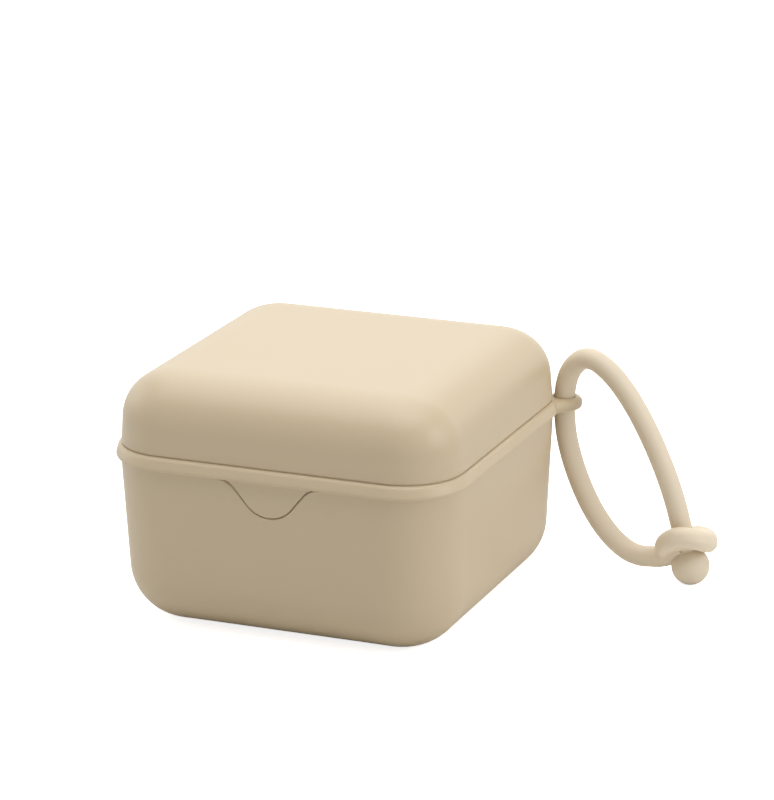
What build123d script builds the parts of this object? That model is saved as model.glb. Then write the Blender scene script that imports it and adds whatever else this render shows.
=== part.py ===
"""Pacifier sterilizer case: a square box with a clip-on hinged lid, a steam rack and a wrist strap.

Millimetres.  Z is up, the front (tongue side) faces -Y, +X is to the right seen from the front.
The origin is the middle of the flat underside.
"""
from build123d import *
from math import acos, atan2, cos, degrees, radians, sin, sqrt, tan
import os

# ---- driving dimensions ------------------------------------------------------------------------
WIDTH = 100.0               # over the walls at the rim, both ways
HEIGHT = 71.4               # floor to lid top
CORNER_R = 16.8             # plan radius of the rim's corners
WALL = 2.4                  # base wall
LID_WALL = 2.0
SEAM_Z = 47.0               # shoulder of the base, where the lid comes to rest
SEAT_GAP = 0.05             # lid underside over the shoulder
BAND_TOP_Z = 50.7           # top of the raised band round the lid's rim
BAND_PROUD = 1.25           # how far the band stands out from the wall
BAND_FOOT, BAND_HEAD = 0.25, 0.05      # the same at its underside and at its top
BAND_PROFILE = [(1.05, 0.2), (BAND_PROUD, 0.65), (1.11, 1.35), (0.96, 2.0),
                (0.8, 2.7), (0.5, 3.35)]       # (out of the wall line, up from the seam)
BASE_DRAFT = 0.0366         # inward lean of the base wall per mm going down
FLOOR_R = 16.0              # edge radius under the base
FLOOR_CORNER_R = 17.7       # plan radius of the corners at the floor
SKIRT_T = 1.1               # wall line to the inner face of the lid's skirt
NECK_INSET = 1.7            # wall line to the outer face of the neck inside the lid
NECK_T = 1.2
NECK_CHAMFER = 0.35
NECK_TOP_Z = 50.9
SNAP_RIB_R, SNAP_RIB_L, SNAP_RIB_Z = 0.4, 40.0, 49.2   # rib on the neck's front that the skirt rides over
LEDGE_Z, LEDGE_INSET = 51.3, 2.4       # step inside the lid, just over the neck
DOME_Z = 57.1               # where the lid's wall starts to round over
DOME_INSET = 0.69           # lean of the lid wall up to there
DOME_FULLNESS = 0.604       # handle length of the round-over (0.552 would be a plain ellipse)
CREASE_W, CREASE_D = 0.6, 0.55     # fine groove between band and dome
DOME_FOOT_INSET = 0.25      # wall line to the foot of the dome, over the groove

TONGUE_HALF = 15.0          # half width where the tongue flares out of the band
TONGUE_TIP_Z = 37.1
TONGUE_TIP_R, TONGUE_FLARE_R = 8.4, 6.2
TONGUE_T = 1.0
TONGUE_HEAD = 1.5           # how far its root runs up inside the band
TONGUE_GAP = 0.2            # joint line round the tongue
TONGUE_BEVEL = 0.3          # bevel on both sides of the joint line
RECESS_D = 1.35             # pocket in the base wall that the tongue lies in

HINGE_Y, HINGE_Z = 54.6, 48.85     # hinge axis, along X behind the rear wall
BAR_R = 1.5
BAR_CLEARANCE = 0.06
EAR_R, CLIP_R = 2.7, 2.8
EAR_T = 3.0
EAR_FOOT_Z, EAR_ROOT = 38.5, 0.6       # where the ear's leg meets the wall, and how far it goes in
STATION_X, STATION_GAP = 22.0, 14.0    # middle of each hinge station, space between its ears
CLIP_SIDE_GAP = 0.3
MOUTH_W, MOUTH_TILT = 2.3, 30.0        # slot that lets the clip snap over the bar
BRIDGE_H, BRIDGE_ROOT = 2.8, 0.4       # arm from the clip to the band, and how far it goes in
STOP_ANGLE = 110.0                     # opening angle at which the heel meets the rear wall
HEEL_DROP, HEEL_H, HEEL_T = 2.1, 1.9, 0.9   # heel's pad below the axis, lid open; its height, thickness
HEEL_ROOT_R, HEEL_ROOT = 2.6, (225, 250)    # where the heel grows out of the clip
HEEL_GAP = 0.04

EYELET_X, EYELET_Y = 50.5, 44.0    # strap hole, just outside the rear right corner
EYELET_HOLE_R, EYELET_R = 3.2, 5.1
EYELET_Z0, EYELET_Z1 = 46.8, 50.4
EYELET_EDGE_R = 1.5
WEB_ROOT = 0.95             # how far out of the wall line the eyelet's web starts, inside the band
NOTCH_FRONT_Y, NOTCH_REAR_X = 36.0, 38.5   # gap in the lid's rim that the eyelet lug comes through
NOTCH_CLEARANCE, NOTCH_HEADROOM = 0.1, 0.3
LUG_INSET = 2.2             # wall line to the inner face of the lug's band

STRAP_D = 6.0
BALL_R = 5.45
RING_R, RING_H, RING_EDGE_R = 8.9, 5.8, 2.4
RING_ARCH_R, RING_DISH_R = 15.0, 22.0      # the ring's saddle shape: droop along the loop, dish across it
STRAP_YAW = -5.07           # the loop's plane, turned about the eyelet from +X
BALL_RHO = 39.6             # ball centre, out from the eyelet in the loop's plane
RING_RHO, RING_Z = 38.0, 12.7
RING_TIP, RING_LEAN = 17.3, 15.4           # its axis tips back along the loop, and leans to the rear
NECK_END, NECK_END_R = (36.8, 11.0), 3.7   # where the ring's neck ends inside it, and its radius there
STRAP_FIT = 0.06            # play round the strap in its closure ring

VENT_X, VENT_W, VENT_DEPTH = 8.0, 3.0, 2.4     # steam notches in the rear of the neck

RACK_Z = 12.0               # underside of the rack plate
RACK_T, RACK_RIM_H, RACK_RIM_T = 1.6, 5.0, 1.8
RACK_HALF, RACK_CORNER_R = 44.8, 14.4
LEG_R, LEG_DRAFT = 2.6, 0.5
LEG_PITCH_X, LEG_PITCH_Y = 56.0, 50.0
RACK_PLAY = 0.05            # legs over the base's floor
RACK_TAB_W, RACK_TAB_TOP, RACK_TAB_R = 16.0, 27.0, 6.0   # finger tabs standing on the rim, left and right
SLOT_W, SLOT_L, SLOT_PITCH_X, SLOT_PITCH_Y = 3.6, 34.0, 41.0, 10.0
SLOT_ROWS, SLOT_COLUMNS = 7, 2

# ---- derived -----------------------------------------------------------------------------------
HALF = WIDTH / 2
AXIS = HALF - CORNER_R                       # corner axes stand at (+-AXIS, +-AXIS)
RIM_HALF = HALF - 0.05                       # base wall at the shoulder
STEP_X = HALF - NECK_INSET
CAVITY_HALF = STEP_X - NECK_T
STRAP_R = STRAP_D / 2

# Strap route, from the neck of the ring round the loop to the ball: (out from the eyelet, height).
STRAP_ROUTE = [(27.6, 6.3), (24.4, 5.9), (20.0, 6.8), (14.6, 10.6), (9.2, 17.2), (4.7, 25.8),
               (1.3, 35.4), (0.0, 43.6), (0.0, 52.8), (2.1, 59.4), (7.3, 63.4), (14.6, 59.3),
               (21.7, 50.8), (28.4, 39.1), (33.9, 26.4), (37.2, 14.6)]


def slab(half, radius, z):
    """Rounded square outline lying at height z."""
    return Pos(0, 0, z) * RectangleRounded(2 * half, 2 * half, radius)


def band_edge():
    """Outer face of the band: a full lower lip, then a face that leans back in a shallow valley
    and rounds over to the wall."""
    r = CORNER_R
    return Spline((r + BAND_FOOT, SEAM_Z + SEAT_GAP),
                  *[(r + out, SEAM_Z + up) for out, up in BAND_PROFILE], (r + BAND_HEAD, BAND_TOP_Z))


def corner_section(profile):
    """Stand a profile, drawn as (distance from the corner axis, height), at the +X +Y corner."""
    return Plane(origin=(AXIS, AXIS, 0), x_dir=(1, 0, 0), z_dir=(0, -1, 0)) * profile


def run_round(profile):
    """Run a profile round the rounded square: turned through 90 degrees at each corner and drawn
    straight along each side."""
    section = corner_section(profile)
    corner = revolve(section, axis=Axis((AXIS, AXIS, 0), (0, 0, 1)), revolution_arc=90)
    quarter = corner + extrude(section, amount=2 * AXIS, dir=(0, -1, 0))
    return quarter + [Rot(0, 0, turn) * quarter for turn in (90, 180, 270)]


# ---- lid ---------------------------------------------------------------------------------------
def lid_section():
    """Wall of the lid from the skirt to the middle of a corner."""
    r = CORNER_R
    foot = SEAM_Z + SEAT_GAP
    dome, inner = r - DOME_INSET, r - DOME_INSET - LID_WALL
    top, ceiling = HEIGHT, HEIGHT - LID_WALL
    full = DOME_FULLNESS
    crease = Polyline((r + BAND_HEAD, BAND_TOP_Z), (r - CREASE_D, BAND_TOP_Z + CREASE_W / 4),
                      (r - CREASE_D, BAND_TOP_Z + CREASE_W * 3 / 4),
                      (r - DOME_FOOT_INSET, BAND_TOP_Z + CREASE_W), (dome, DOME_Z))
    over = Bezier((dome, DOME_Z), (dome, DOME_Z + full * (top - DOME_Z)), (full * dome, top), (0, top))
    under = Bezier((0, ceiling), (full * inner, ceiling), (inner, DOME_Z + full * (ceiling - DOME_Z)),
                   (inner, DOME_Z))
    inside = Polyline((inner, DOME_Z), (r - LEDGE_INSET, LEDGE_Z), (r - SKIRT_T, LEDGE_Z),
                      (r - SKIRT_T, foot), (r + BAND_FOOT, foot))
    return make_face(band_edge() + crease + over + Line((0, top), (0, ceiling)) + under + inside)


def tongue_outline(grow):
    """Bell-shaped outline on the front wall, `grow` outside its nominal line: a round tip and two
    flares, joined by straight flanks that touch both arcs.  v is 0 at the shoulder, up the wall."""
    tip_r, flare_r = TONGUE_TIP_R + grow, TONGUE_FLARE_R - grow
    tip_v, flare_v = TONGUE_TIP_Z - SEAM_Z + TONGUE_TIP_R, -TONGUE_FLARE_R
    apart = Vector(TONGUE_HALF, flare_v - tip_v)
    across = atan2(apart.Y, apart.X) - acos((tip_r + flare_r) / apart.length)
    crown_turn = (across + radians(180) + radians(90)) / 2

    def on_tip(angle):
        return tip_r * cos(angle), tip_v + tip_r * sin(angle)

    def on_flare(angle):
        return TONGUE_HALF + flare_r * cos(angle), flare_v + flare_r * sin(angle)

    flank_foot, flank_head = on_tip(across), on_flare(across + radians(180))
    half = (ThreePointArc((0, tip_v - tip_r), on_tip((across - radians(90)) / 2), flank_foot)
            + Line(flank_foot, flank_head)
            + ThreePointArc(flank_head, on_flare(crown_turn), on_flare(radians(90)))
            + Polyline(on_flare(radians(90)), (TONGUE_HALF, TONGUE_HEAD), (0, TONGUE_HEAD)))
    right = make_face(half + Line((0, TONGUE_HEAD), (0, tip_v - tip_r)))
    return right + mirror(right, about=Plane.YZ)


def front_wall_plane():
    """Plane of the base's front wall, u to the right and v up the wall, at the shoulder."""
    lean = degrees(atan2(BASE_DRAFT, 1))
    return Plane(origin=(0, -RIM_HALF, SEAM_Z), x_dir=(1, 0, 0), z_dir=(0, -1, 0)).rotated((lean, 0, 0))


def hinge_section(shape):
    """Put a sketch drawn as (out from the hinge axis, up) on the hinge axis, seen along +X."""
    return Plane(origin=(0, HINGE_Y, HINGE_Z), x_dir=(0, 1, 0), z_dir=(1, 0, 0)) * shape


def along_x(section, start, end):
    """Extrude a hinge section from x = start to x = end."""
    return Pos(start, 0, 0) * extrude(section, amount=end - start, dir=(1, 0, 0))


def heel_section():
    """Stop heel, drawn with the lid open, when its flat pad lies against the rear wall."""
    pad = RIM_HALF + HEEL_GAP - HINGE_Y
    foot = -HEEL_DROP - HEEL_H
    root = [(HEEL_ROOT_R * cos(radians(a)), HEEL_ROOT_R * sin(radians(a))) for a in reversed(HEEL_ROOT)]
    heel = Polygon((pad, -HEEL_DROP), (pad, foot), (pad + HEEL_T, foot), *root, align=None)
    return Rot(0, 0, STOP_ANGLE) * heel


def clip_section():
    """Hinge clip: a C round the bar, a bridge to the band and the stop heel."""
    bridge_start = HALF + BRIDGE_ROOT - HINGE_Y
    bridge = Pos(bridge_start / 2, 0) * Rectangle(abs(bridge_start), BRIDGE_H)
    mouth = Rot(0, 0, MOUTH_TILT) * (Pos(CLIP_R, 0) * Rectangle(2 * CLIP_R, MOUTH_W))
    return Circle(CLIP_R) + bridge + heel_section() - Circle(BAR_R + BAR_CLEARANCE) - mouth


def rim_corner(clearance):
    """Block at the rear right corner of the rim that parts the eyelet lug from the lid."""
    reach = HALF + 10
    block = Box(reach - NOTCH_REAR_X, reach - NOTCH_FRONT_Y, 3 * (BAND_TOP_Z - SEAM_Z),
                align=(Align.MIN, Align.MIN, Align.MAX))
    return Pos(NOTCH_REAR_X + clearance, NOTCH_FRONT_Y + clearance, BAND_TOP_Z + NOTCH_HEADROOM) * block


def lid_shell():
    lid = run_round(lid_section())
    lid += Pos(0, 0, HEIGHT - LID_WALL / 2) * Box(2 * AXIS, 2 * AXIS, LID_WALL)
    tongue = extrude(front_wall_plane() * tongue_outline(-TONGUE_GAP / 2), amount=-TONGUE_T)
    lid += chamfer(tongue.faces().sort_by(Axis.Y)[0].edges(), TONGUE_BEVEL)
    clip = hinge_section(clip_section())
    reach = STATION_GAP / 2 - CLIP_SIDE_GAP
    for x in (-STATION_X, STATION_X):
        lid += along_x(clip, x - reach, x + reach)
    return lid - rim_corner(0)


# ---- base --------------------------------------------------------------------------------------
def base_cup():
    """Drafted cup with a rolled-under floor edge, its neck and its cavity."""
    floor_half = RIM_HALF - BASE_DRAFT * SEAM_Z
    cup = loft([slab(floor_half, FLOOR_CORNER_R, 0), slab(RIM_HALF, CORNER_R, SEAM_Z)], ruled=True)
    cup = fillet(cup.faces().sort_by(Axis.Z)[0].edges(), FLOOR_R)
    neck = extrude(slab(STEP_X, CORNER_R - NECK_INSET, SEAM_Z - 1), amount=NECK_TOP_Z - SEAM_Z + 1)
    neck = chamfer(neck.faces().sort_by(Axis.Z)[-1].edges(), NECK_CHAMFER)
    cavity = loft([slab(floor_half - WALL, FLOOR_CORNER_R - WALL, WALL),
                   slab(CAVITY_HALF, CORNER_R - NECK_INSET - NECK_T, NECK_TOP_Z + 1)], ruled=True)
    cavity = fillet(cavity.faces().sort_by(Axis.Z)[0].edges(), FLOOR_R - WALL)
    return cup + neck - cavity


def eyelet_lug():
    """The length of band that belongs to the base, with the eyelet that carries the strap on a
    web that runs forward into the band."""
    r, inner = CORNER_R, CORNER_R - LUG_INSET
    foot = r + BAND_FOOT
    back = Polyline((r + BAND_HEAD, BAND_TOP_Z), (inner, BAND_TOP_Z), (inner, SEAM_Z), (foot, SEAM_Z),
                    (foot, SEAM_Z + SEAT_GAP))
    profile = make_face(band_edge() + back)
    band = revolve(corner_section(profile), axis=Axis((AXIS, AXIS, 0), (0, 0, 1)), revolution_arc=90)
    band &= rim_corner(NOTCH_CLEARANCE)
    root_y = NOTCH_FRONT_Y + NOTCH_CLEARANCE
    root_x = AXIS + sqrt((r + WEB_ROOT) ** 2 - (root_y - AXIS) ** 2)
    eye = Pos(EYELET_X, EYELET_Y) * Circle(EYELET_R)
    outline = make_hull(eye.edges() + Line((root_x - LUG_INSET, root_y), (root_x, root_y)).edges())
    web = extrude(Pos(0, 0, EYELET_Z0) * outline, amount=EYELET_Z1 - EYELET_Z0)
    flats = web.faces().filter_by(Plane.XY)
    return band + fillet(flats.edges(), EYELET_EDGE_R)


def tongue_pocket():
    """Pocket that the tongue lies in, with a bevelled rim."""
    wall, gap = front_wall_plane(), TONGUE_GAP / 2
    rim = loft([wall * tongue_outline(gap + TONGUE_BEVEL), wall.offset(-TONGUE_BEVEL) * tongue_outline(gap)],
               ruled=True)
    return rim + extrude(wall * tongue_outline(gap), amount=-RECESS_D)


def ear_section():
    """Hinge ear: a round end carrying the bar, on a leg that runs down into the rear wall and
    leaves room over the shoulder for the lid's band."""
    wall, shoulder = HALF - EAR_ROOT - HINGE_Y, SEAM_Z - 2 * SEAT_GAP - HINGE_Z
    leg = make_hull(Circle(EAR_R).edges() + Line((wall, EAR_FOOT_Z - HINGE_Z), (wall, shoulder)).edges())
    room = Rectangle(abs(wall) - EAR_R, 2 * EAR_R, align=(Align.MIN, Align.MIN))
    return leg - Pos(wall, shoulder) * room


def base_shell():
    base = base_cup() + eyelet_lug()
    base -= tongue_pocket()
    ear = hinge_section(ear_section())
    bar = hinge_section(Circle(BAR_R))
    reach = STATION_GAP / 2
    for x in (-STATION_X, STATION_X):
        for start in (x - reach - EAR_T, x + reach):
            base += along_x(ear, start, start + EAR_T)
        base += along_x(bar, x - reach - EAR_T, x + reach + EAR_T)
    rib = Rot(0, 90, 0) * Cylinder(SNAP_RIB_R, SNAP_RIB_L)
    base += Pos(0, -STEP_X, SNAP_RIB_Z) * rib
    vent = Box(VENT_W, 6, 2 * VENT_DEPTH)
    base -= [Pos(x, STEP_X, NECK_TOP_Z) * vent for x in (-VENT_X, VENT_X)]
    hole = Cylinder(EYELET_HOLE_R, 20)
    return base - Pos(EYELET_X, EYELET_Y, SEAM_Z) * hole


# ---- steam rack --------------------------------------------------------------------------------
def steam_rack():
    """Slotted plate on four legs that keeps the pacifiers out of the water."""
    plate = extrude(slab(RACK_HALF, RACK_CORNER_R, RACK_Z), amount=RACK_RIM_H)
    plate -= extrude(slab(RACK_HALF - RACK_RIM_T, RACK_CORNER_R - RACK_RIM_T, RACK_Z + RACK_T),
                     amount=RACK_RIM_H)
    slots = GridLocations(SLOT_PITCH_X, SLOT_PITCH_Y, SLOT_COLUMNS, SLOT_ROWS) * SlotOverall(SLOT_L, SLOT_W)
    plate -= extrude(Pos(0, 0, RACK_Z) * Sketch(children=slots), amount=RACK_T)
    tab = Box(RACK_RIM_T, RACK_TAB_W, RACK_TAB_TOP - RACK_Z, align=(Align.MAX, Align.CENTER, Align.MIN))
    tab = fillet(tab.edges().filter_by(Axis.X).group_by(Axis.Z)[-1], RACK_TAB_R)
    plate += [Rot(0, 0, turn) * Pos(RACK_HALF, 0, RACK_Z) * tab for turn in (0, 180)]
    leg = Cone(LEG_R, LEG_R + LEG_DRAFT, RACK_Z - WALL - RACK_PLAY,
               align=(Align.CENTER, Align.CENTER, Align.MAX))
    feet = GridLocations(LEG_PITCH_X, LEG_PITCH_Y, 2, 2)
    return plate + [Pos(0, 0, RACK_Z) * place * leg for place in feet]


# ---- strap -------------------------------------------------------------------------------------
def on_loop(rho, z):
    """Point of the strap loop, rho out from the eyelet's axis and z above the floor."""
    yaw = radians(STRAP_YAW)
    return Vector(EYELET_X + rho * cos(yaw), EYELET_Y + rho * sin(yaw), z)


def strap_points():
    """Route of the strap, ending on the ball where the sphere is as wide as the strap."""
    last = Vector(*STRAP_ROUTE[-1])
    ball = Vector(BALL_RHO, BALL_R)
    end = ball + (last - ball).normalized() * sqrt(BALL_R ** 2 - STRAP_R ** 2)
    return [on_loop(*p) for p in STRAP_ROUTE] + [on_loop(end.X, end.Y)]


def corner_radii(points):
    """Largest arc at each corner: 0.45 of the shorter run over the tangent of half the turn."""
    radii = []
    for a, b, c in zip(points, points[1:], points[2:]):
        turn = radians((b - a).get_angle(c - b))
        radii.append(0.45 * min((b - a).length, (c - b).length) / tan(turn / 2))
    return radii


def strap_cord():
    points = strap_points()
    radii = corner_radii(points)
    path = FilletPolyline(*points, radius=radii)
    print("strap arc radii:", [round(r, 1) for r in radii])
    print("strap length: %.1f" % path.length)
    return sweep(Plane(origin=path @ 0, z_dir=path % 0) * Circle(STRAP_R), path=path)


def strap_ball():
    """Round button on the free end, flat where the strap runs into it."""
    points = strap_points()
    up_strap = (points[-2] - points[-1]).normalized()
    beyond = Box(4 * BALL_R, 4 * BALL_R, 2 * BALL_R, align=(Align.CENTER, Align.CENTER, Align.MIN))
    ball = Pos(*on_loop(BALL_RHO, BALL_R)) * Sphere(BALL_R)
    return ball - Plane(origin=points[-1], z_dir=up_strap) * beyond


def saddle_disc():
    """Round-edged disc that arches over the ball along X and dishes across it."""
    arch = Circle(RING_ARCH_R + RING_H / 2) - Circle(RING_ARCH_R - RING_H / 2)
    over = Pos(0, -RING_ARCH_R) * arch & Rectangle(2.5 * RING_R, 2 * RING_R)
    dish, turn = Axis((0, 0, RING_DISH_R), (1, 0, 0)), 60
    saddle = revolve((Plane.XZ * over).rotate(dish, -turn / 2), axis=dish, revolution_arc=turn)
    return fillet((saddle & Cylinder(RING_R, 4 * RING_H)).edges(), RING_EDGE_R)


def strap_ring():
    """Closure ring pushed over the ball, with the neck that joins it to the strap."""
    points = strap_points()
    turn = Rot(0, 0, STRAP_YAW) * Rot(-RING_LEAN, 0, 0) * Rot(0, -RING_TIP, 0)
    disc = Pos(*on_loop(RING_RHO, RING_Z)) * turn * saddle_disc()
    heading = (points[0] - points[1]).normalized()
    path = TangentArc(points[0], on_loop(*NECK_END), tangent=heading)
    ends = [Plane(origin=path @ t, z_dir=path % t) * Circle(r)
            for t, r in ((0, STRAP_R), (1, NECK_END_R))]
    neck = sweep(ends, path=path, multisection=True)
    up_strap = (points[-2] - points[-1]).normalized()
    hole = Cylinder(STRAP_R + STRAP_FIT, 4 * RING_H, align=(Align.CENTER, Align.CENTER, Align.MIN))
    ball_room = Pos(*on_loop(BALL_RHO, BALL_R)) * Sphere(BALL_R + STRAP_FIT)
    return disc + neck - Plane(origin=points[-1], z_dir=up_strap) * hole - ball_room


NODES = {"base_shell": base_shell, "lid_shell": lid_shell, "steam_rack": steam_rack,
         "strap_cord": strap_cord, "strap_ring": strap_ring, "strap_ball": strap_ball}

os.makedirs("parts", exist_ok=True)
for name, make in NODES.items():
    export_step(make(), f"parts/{name}.step")
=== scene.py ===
"""Looks of the pacifier sterilizer case: satin moulded plastic and a matte silicone wrist strap,
on a white floor in soft studio light.  Metres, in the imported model's frame."""
import bmesh
import bpy
from math import cos, pi, radians, sin
from mathutils import Matrix, Vector


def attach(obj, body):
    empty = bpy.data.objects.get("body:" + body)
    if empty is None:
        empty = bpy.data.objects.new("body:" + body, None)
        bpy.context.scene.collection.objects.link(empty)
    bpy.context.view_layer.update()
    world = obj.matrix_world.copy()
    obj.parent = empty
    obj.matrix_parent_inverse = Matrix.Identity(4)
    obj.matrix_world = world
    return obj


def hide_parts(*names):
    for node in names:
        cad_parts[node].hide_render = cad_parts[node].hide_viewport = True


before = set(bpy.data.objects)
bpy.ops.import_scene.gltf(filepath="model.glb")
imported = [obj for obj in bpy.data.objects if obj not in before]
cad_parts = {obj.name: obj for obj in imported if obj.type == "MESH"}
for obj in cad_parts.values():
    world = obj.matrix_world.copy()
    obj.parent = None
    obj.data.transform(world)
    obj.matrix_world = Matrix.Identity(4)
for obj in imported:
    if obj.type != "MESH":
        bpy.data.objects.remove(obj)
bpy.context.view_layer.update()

MM = 0.001

# ---- camera ------------------------------------------------------------------------------------
VIEW_AZIMUTH, VIEW_ELEVATION, VIEW_ROLL = 22.52, 17.26, -0.44       # degrees
VIEW_DISTANCE = 1074.8 * MM
VIEW_TARGET = Vector((5.94, 19.68, 51.18)) * MM
SENSOR = 36.0                                    # mm over the picture's longer side
LENS = 171.0
CLIP_START = 10 * MM

# ---- strap -------------------------------------------------------------------------------------
EYELET = Vector((50.5, 44.0, 0.0)) * MM          # foot of the upright axis that the loop hangs round
STRAP_YAW = -5.07                                # the loop's plane, turned about that axis from +X
STRAP_RADIUS = 3.0 * MM
STRAP_SIDES = 48
SPLINE_STEPS = 12                                # steps along each span of the line
BALL_RHO, BALL_R = 39.6, 5.45
# Control points, mm out from the eyelet and mm above the floor: the solid's route, with one point
# before it that starts the strap inside the ring's neck.
STRAP_ROUTE = [(30.5, 6.9), (27.6, 6.3), (24.4, 5.9), (20.0, 6.8), (14.6, 10.6), (9.2, 17.2),
               (4.7, 25.8), (1.3, 35.4), (0.0, 43.6), (0.0, 52.8), (2.1, 59.4), (7.3, 63.4),
               (14.6, 59.3), (21.7, 50.8), (28.4, 39.1), (33.9, 26.4), (37.2, 14.6)]

# ---- relief in the materials ------------------------------------------------------------------
BAND_FOOT_Z, BAND_TOP_Z = 47.1 * MM, 50.6 * MM
BAND_CROWN = 0.7 * MM
PARTING_HALF_W, PARTING_H = 0.12 * MM, 0.03 * MM

CLOUD_SCALE, CLOUD_DETAIL = 22, 4                # slow clouding of colour and gloss
GRAIN_DETAIL, GRAIN_DEPTH = 3, 0.02 * MM
GLOSS_SWING = 0.04                               # roughness either way of its middle

# ---- finishes: middle roughness, scale of the grain, share of the colour that clouds, bump ------
SATIN_FINISH = (0.42, 2600, 0.015, 0.25)
RACK_FINISH = (0.36, 3200, 0.01, 0.15)
SILICONE_FINISH = (0.55, 1800, 0.02, 0.3)

# ---- colours, linear ---------------------------------------------------------------------------
SHELL_COLOUR = (0.530, 0.427, 0.280)
STRAP_COLOUR = (0.705, 0.605, 0.458)

# ---- stage -------------------------------------------------------------------------------------
FLOOR_SIZE = 12.0
FLOOR_COLOUR = (0.96, 0.96, 0.96, 1)
FLOOR_GLOW = 0.80           # light of the floor's own, for the camera only
AMBIENT = 0.25              # light of the surroundings on matte surfaces
SURROUND = 1.65             # brightness of the surroundings where they are seen or mirrored
# name: (place, aim, size, watts)
SOFTBOXES = {"overhead": ((0, 0, 1.6), (0, 0, 0.035), (1.6, 1.6), 22),
             "right": ((1.6, 0, 0.8), (0, 0, 0.035), (1.0, 1.0), 10),
             "left": ((-1.6, 0, 0.8), (0, 0, 0.035), (1.0, 1.0), 4.8),
             "rear": ((-0.6, 1.3, 1.35), (0, 0, 0.035), (1.4, 1.0), 5)}


# ---- camera and strap --------------------------------------------------------------------------
def look_from(azimuth, elevation, roll, distance, target):
    """Camera matrix, azimuth 0 looking along +Y."""
    a, e, r = radians(azimuth), radians(elevation), radians(roll)
    back = Vector((cos(e) * sin(a), -cos(e) * cos(a), sin(e)))
    level = Vector((cos(a), sin(a), 0))
    rise = back.cross(level)
    right = level * cos(r) + rise * sin(r)
    up = back.cross(right)
    turn = Matrix((right, up, back)).transposed().to_4x4()
    return Matrix.Translation(target + back * distance) @ turn


def add_camera():
    data = bpy.data.cameras.new("camera")
    data.sensor_width = SENSOR
    data.lens = LENS
    data.clip_start = CLIP_START
    camera = bpy.data.objects.new("camera", data)
    camera.matrix_world = look_from(VIEW_AZIMUTH, VIEW_ELEVATION, VIEW_ROLL, VIEW_DISTANCE, VIEW_TARGET)
    bpy.context.collection.objects.link(camera)
    bpy.context.scene.camera = camera


def loop_frame():
    """Directions of the strap's loop: outward from the eyelet, and across the loop's plane."""
    yaw = radians(STRAP_YAW)
    return Vector((cos(yaw), sin(yaw), 0)), Vector((-sin(yaw), cos(yaw), 0))


def on_loop(rho, z):
    """Point of the strap loop, rho mm out from the eyelet's axis and z mm above the floor."""
    outward, _ = loop_frame()
    return EYELET + outward * rho * MM + Vector((0, 0, z * MM))


def strap_points():
    """Control points of the strap, the last where the ball is as wide as the strap."""
    last, ball = Vector(STRAP_ROUTE[-1]), Vector((BALL_RHO, BALL_R))
    seat = (BALL_R ** 2 - (STRAP_RADIUS / MM) ** 2) ** 0.5
    end = ball + (last - ball).normalized() * seat
    return [on_loop(*p) for p in STRAP_ROUTE + [tuple(end)]]


def spline_line(control_points):
    """Points along one smooth NURBS spline with these control points."""
    data = bpy.data.curves.new("strap_line", "CURVE")
    data.dimensions = "3D"
    data.resolution_u = SPLINE_STEPS
    spline = data.splines.new("NURBS")
    spline.points.add(len(control_points) - 1)
    for point, place in zip(spline.points, control_points):
        point.co = (*place, 1)
    spline.order_u = 3
    spline.use_endpoint_u = True
    line = bpy.data.objects.new("strap_line", data)
    mesh = bpy.data.meshes.new_from_object(line)
    places = [vertex.co.copy() for vertex in mesh.vertices]
    bpy.data.objects.remove(line)
    bpy.data.curves.remove(data)
    bpy.data.meshes.remove(mesh)
    return places


def tube(name, line, radius, across):
    """Round tube along a line that lies in one plane, with `across` square to that plane."""
    body = bmesh.new()
    rings = []
    for i, place in enumerate(line):
        ahead = (line[min(i + 1, len(line) - 1)] - line[max(i - 1, 0)]).normalized()
        side = across.cross(ahead)
        turns = [2 * pi * k / STRAP_SIDES for k in range(STRAP_SIDES)]
        rings.append([body.verts.new(place + (across * cos(t) + side * sin(t)) * radius) for t in turns])
    for near, far in zip(rings, rings[1:]):
        for k in range(STRAP_SIDES):
            n = (k + 1) % STRAP_SIDES
            body.faces.new((near[k], near[n], far[n], far[k])).smooth = True
    for end in (rings[0], rings[-1]):
        body.faces.new(end)
    bmesh.ops.recalc_face_normals(body, faces=body.faces)
    mesh = bpy.data.meshes.new(name)
    body.to_mesh(mesh)
    body.free()
    piece = bpy.data.objects.new(name, mesh)
    bpy.context.collection.objects.link(piece)
    return piece


def add_strap():
    """The strap as one soft tube from the ring's neck to the ball."""
    _, across = loop_frame()
    line = spline_line(strap_points())
    strap = tube("strap", line, STRAP_RADIUS, across)
    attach(strap, "strap")
    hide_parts("strap_cord")
    return strap


# ---- materials ---------------------------------------------------------------------------------
def new_material(name):
    material = bpy.data.materials.new(name)
    material.use_nodes = True
    return material, material.node_tree.nodes, material.node_tree.links


def noise(nodes, links, place, scale, detail):
    """Noise over the object's own space; returns its value."""
    texture = nodes.new("ShaderNodeTexNoise")
    texture.inputs["Scale"].default_value = scale
    texture.inputs["Detail"].default_value = detail
    links.new(place.outputs["Object"], texture.inputs["Vector"])
    return texture.outputs["Fac"]


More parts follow.
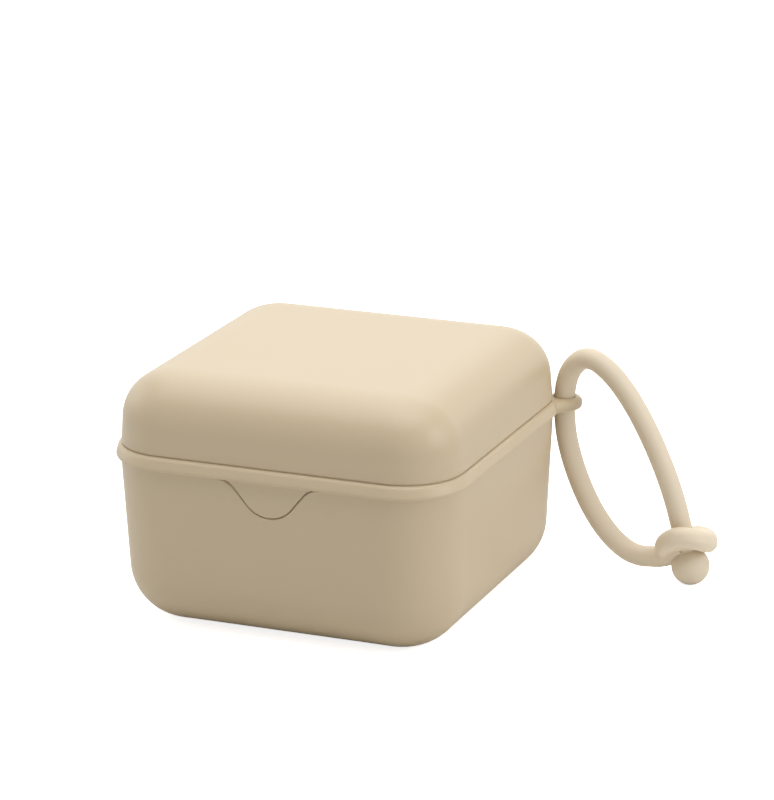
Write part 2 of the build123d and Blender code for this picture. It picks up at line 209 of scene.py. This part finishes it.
def moulded(name, colour, finish):
    """Moulded material: faint cloudy colour, fine surface grain and slight unevenness of gloss."""
    roughness, grain, mottle, bump = finish
    material, nodes, links = new_material(name)
    shader = nodes["Principled BSDF"]
    place = nodes.new("ShaderNodeTexCoord")
    clouds = noise(nodes, links, place, CLOUD_SCALE, CLOUD_DETAIL)
    fine = noise(nodes, links, place, grain, GRAIN_DETAIL)

    tint = nodes.new("ShaderNodeMix")
    tint.data_type = "RGBA"
    tint.inputs[6].default_value = (*[c * (1 - mottle) for c in colour], 1)
    tint.inputs[7].default_value = (*[c * (1 + mottle) for c in colour], 1)
    links.new(clouds, tint.inputs[0])
    links.new(tint.outputs[2], shader.inputs["Base Color"])

    gloss = nodes.new("ShaderNodeMapRange")
    gloss.inputs["To Min"].default_value = roughness - GLOSS_SWING
    gloss.inputs["To Max"].default_value = roughness + GLOSS_SWING
    links.new(clouds, gloss.inputs["Value"])
    links.new(gloss.outputs["Result"], shader.inputs["Roughness"])

    relief = nodes.new("ShaderNodeBump")
    relief.inputs["Strength"].default_value = bump
    relief.inputs["Distance"].default_value = GRAIN_DEPTH
    links.new(fine, relief.inputs["Height"])
    links.new(relief.outputs["Normal"], shader.inputs["Normal"])
    return material, nodes, links, place, relief


def carve(nodes, links, height, relief):
    """Put a height in metres under the grain's relief."""
    form = nodes.new("ShaderNodeBump")
    form.inputs["Strength"].default_value = 1
    form.inputs["Distance"].default_value = 1
    links.new(height, form.inputs["Height"])
    links.new(form.outputs["Normal"], relief.inputs["Normal"])


def band_crown(nodes, links, place, relief):
    """Lean the face of the raised band back a little more, from its foot to its top edge."""
    split = nodes.new("ShaderNodeSeparateXYZ")
    links.new(place.outputs["Object"], split.inputs[0])
    ramp = nodes.new("ShaderNodeMapRange")
    ramp.inputs["From Min"].default_value = BAND_FOOT_Z
    ramp.inputs["From Max"].default_value = BAND_TOP_Z
    ramp.inputs["To Min"].default_value = BAND_CROWN
    ramp.inputs["To Max"].default_value = 0
    links.new(split.outputs["Z"], ramp.inputs["Value"])
    carve(nodes, links, ramp.outputs["Result"], relief)


def parting_line(nodes, links, place, relief):
    """Hairline ridge where the two halves of the strap's mould met, in the plane of its loop."""
    _, across = loop_frame()
    offset = nodes.new("ShaderNodeVectorMath")
    offset.operation = "SUBTRACT"
    offset.inputs[1].default_value = EYELET
    links.new(place.outputs["Object"], offset.inputs[0])
    away = nodes.new("ShaderNodeVectorMath")
    away.operation = "DOT_PRODUCT"
    away.inputs[1].default_value = across
    links.new(offset.outputs["Vector"], away.inputs[0])
    either_side = nodes.new("ShaderNodeMath")
    either_side.operation = "ABSOLUTE"
    links.new(away.outputs["Value"], either_side.inputs[0])
    ridge = nodes.new("ShaderNodeMapRange")
    ridge.interpolation_type = "SMOOTHSTEP"
    ridge.inputs["From Max"].default_value = PARTING_HALF_W
    ridge.inputs["To Min"].default_value = PARTING_H
    ridge.inputs["To Max"].default_value = 0
    links.new(either_side.outputs[0], ridge.inputs["Value"])
    carve(nodes, links, ridge.outputs["Result"], relief)


def satin_shell():
    """Outer shells: satin plastic, with the band's face crowned."""
    material, nodes, links, place, relief = moulded("satin_shell", SHELL_COLOUR, SATIN_FINISH)
    band_crown(nodes, links, place, relief)
    return material


def rack_plastic():
    """The rack: the shells' plastic from a smoother mould."""
    return moulded("rack_plastic", SHELL_COLOUR, RACK_FINISH)[0]


def matte_silicone():
    """Strap, ring and ball: soft silicone with a parting line."""
    material, nodes, links, place, relief = moulded("matte_silicone", STRAP_COLOUR, SILICONE_FINISH)
    parting_line(nodes, links, place, relief)
    return material


def dress(node, material):
    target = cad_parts[node]
    target.data.materials.clear()
    target.data.materials.append(material)


# ---- stage -------------------------------------------------------------------------------------
def add_floor():
    """White floor that keeps its shadow, with a little glow that only the camera sees."""
    bpy.ops.mesh.primitive_plane_add(size=FLOOR_SIZE)
    floor = bpy.context.object
    floor.name = "floor"
    material, nodes, links = new_material("floor_white")
    nodes.remove(nodes["Principled BSDF"])
    paint = nodes.new("ShaderNodeBsdfDiffuse")
    paint.inputs["Color"].default_value = FLOOR_COLOUR
    glow = nodes.new("ShaderNodeEmission")
    strength = nodes.new("ShaderNodeMath")
    strength.operation = "MULTIPLY"
    strength.inputs[1].default_value = FLOOR_GLOW
    path = nodes.new("ShaderNodeLightPath")
    links.new(path.outputs["Is Camera Ray"], strength.inputs[0])
    links.new(strength.outputs[0], glow.inputs["Strength"])
    both = nodes.new("ShaderNodeAddShader")
    links.new(paint.outputs[0], both.inputs[0])
    links.new(glow.outputs[0], both.inputs[1])
    links.new(both.outputs[0], nodes["Material Output"].inputs["Surface"])
    floor.data.materials.append(material)


def add_world():
    """White surroundings: bright where they are seen or mirrored, dim as a light."""
    world = bpy.data.worlds.new("studio")
    world.use_nodes = True
    nodes, links = world.node_tree.nodes, world.node_tree.links
    path = nodes.new("ShaderNodeLightPath")
    level = nodes.new("ShaderNodeMapRange")
    level.inputs["To Min"].default_value = SURROUND
    level.inputs["To Max"].default_value = AMBIENT
    links.new(path.outputs["Is Diffuse Ray"], level.inputs["Value"])
    links.new(level.outputs["Result"], nodes["Background"].inputs["Strength"])
    nodes["Background"].inputs["Color"].default_value = (1, 1, 1, 1)
    bpy.context.scene.world = world


def add_softbox(name, place, aim, size, watts):
    data = bpy.data.lights.new(name, "AREA")
    data.shape = "RECTANGLE"
    data.size, data.size_y = size
    data.energy = watts
    lamp = bpy.data.objects.new(name, data)
    lamp.location = place
    lamp.rotation_euler = (Vector(aim) - Vector(place)).to_track_quat("-Z", "Y").to_euler()
    bpy.context.collection.objects.link(lamp)


# ---- build -------------------------------------------------------------------------------------
add_camera()
strap = add_strap()

satin = satin_shell()
silicone = matte_silicone()
for shell in ("base_shell", "lid_shell"):
    dress(shell, satin)
dress("steam_rack", rack_plastic())
for soft in ("strap_ring", "strap_ball"):
    dress(soft, silicone)
strap.data.materials.append(silicone)

add_floor()
add_world()
for name, softbox in SOFTBOXES.items():
    add_softbox(name, *softbox)
bpy.context.scene.view_settings.view_transform = "Standard"
